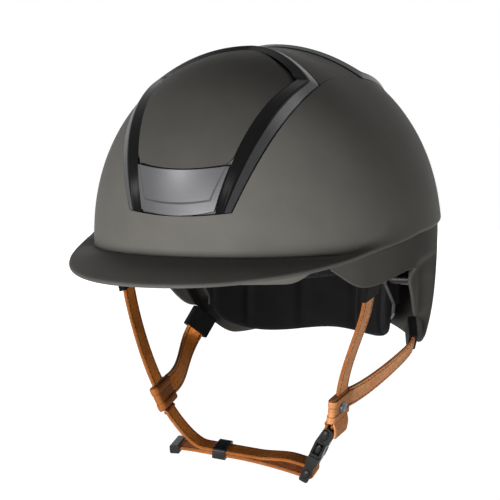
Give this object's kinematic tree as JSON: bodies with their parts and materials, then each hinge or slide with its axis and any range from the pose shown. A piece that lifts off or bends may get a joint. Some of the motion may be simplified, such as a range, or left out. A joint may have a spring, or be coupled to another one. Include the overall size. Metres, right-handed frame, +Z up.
{
  "type": "riding helmet",
  "caption": "Riding helmet with a two-part shell, a gloss-framed crown, a flared peak, a padded sprung nape cradle and a leather harness with a release buckle.",
  "frame": {"origin": "centre of the head opening at the widest line of the shell", "axes": "-Y towards the peak, +X towards the wearer's left, +Z up to the crown"},
  "size_m": [0.2256, 0.3187, 0.293],
  "materials": {
    "shell_matte": "matte soft-touch paint, dark warm grey",
    "frame_gloss": "gloss black",
    "plate_satin": "satin gunmetal",
    "grille_black": "matte black",
    "liner_foam": "matte black foam",
    "pad_fabric": "black knitted fabric",
    "cradle_plastic": "matte black",
    "pin_steel": "brushed",
    "harness_rubber": "matte black rubber",
    "strap_leather": "tan leather with stitched edges",
    "stud_metal": "dark burnished",
    "buckle_plastic": "dark grey, fine grain"
  },
  "bodies": {
    "helmet": {"outer_shell": "shell_matte", "crown_seat": "shell_matte", "peak": "shell_matte", "front_panel": "shell_matte", "front_frame": "frame_gloss", "front_plate": "plate_satin", "rear_frame": "frame_gloss", "rear_panel": "shell_matte", "rear_grille": "grille_black", "lower_shell": "shell_matte", "liner_upper": "liner_foam", "liner_lower": "liner_foam", "crown_pad": "pad_fabric", "front_pad": "pad_fabric", "side_pad_left": "pad_fabric", "side_pad_right": "pad_fabric", "pivot_pin_left": "pin_steel", "pivot_pin_right": "pin_steel", "front_sleeve_left": "harness_rubber", "front_sleeve_right": "harness_rubber", "rear_guide_left": "harness_rubber", "rear_guide_right": "harness_rubber", "front_strap_left": "strap_leather", "front_strap_right": "strap_leather", "rear_strap_left": "strap_leather", "rear_strap_right": "strap_leather", "divider_left": "strap_leather", "divider_right": "strap_leather", "stud_left": "stud_metal", "stud_right": "stud_metal", "socket_strap": "strap_leather", "buckle_socket": "buckle_plastic"},
    "chin": {"chin_strap": "strap_leather", "end_clip": "harness_rubber", "buckle_plug": "buckle_plastic"},
    "keeper": {"keeper": "harness_rubber"},
    "prong_front": {"prong_front": "buckle_plastic"},
    "prong_rear": {"prong_rear": "buckle_plastic"},
    "cradle": {"nape_cradle": "cradle_plastic", "nape_pad": "pad_fabric"}
  },
  "joints": [
    {"name": "chin_strap_hinge", "type": "hinge", "parent": "helmet", "child": "chin", "pos_m": [-0.056, -0.0392, -0.1207], "axis": [-0.1521, 0.9604, 0.2334], "range_deg": [0, 80], "deforming": ["prong_front", "prong_rear"]},
    {"name": "keeper_slide", "type": "slide", "parent": "chin", "child": "keeper", "axis": [0.9743, 0.1855, -0.1282], "range_m": [-0.008, 0.008]},
    {"name": "prong_front_squeeze", "type": "hinge", "parent": "chin", "child": "prong_front", "pos_m": [0.04383, -0.02349, -0.15221], "axis": [-0.8584, -0.2455, 0.4505], "range_deg": [0, 12], "stiffness_Nm_per_rad": 0.05},
    {"name": "prong_rear_squeeze", "type": "hinge", "parent": "chin", "child": "prong_rear", "pos_m": [0.04157, -0.00918, -0.14873], "axis": [0.8584, 0.2455, -0.4505], "range_deg": [0, 12], "stiffness_Nm_per_rad": 0.05},
    {"name": "nape_cradle_tilt", "type": "hinge", "parent": "helmet", "child": "cradle", "pos_m": [0, 0.03893, -0.033], "axis": [1, 0, 0], "range_deg": [-5, 5], "stiffness_Nm_per_rad": 2}
  ],
  "couplings": [
    {"joint": "prong_rear_squeeze", "follows": "prong_front_squeeze", "ratio": 1}
  ]
}
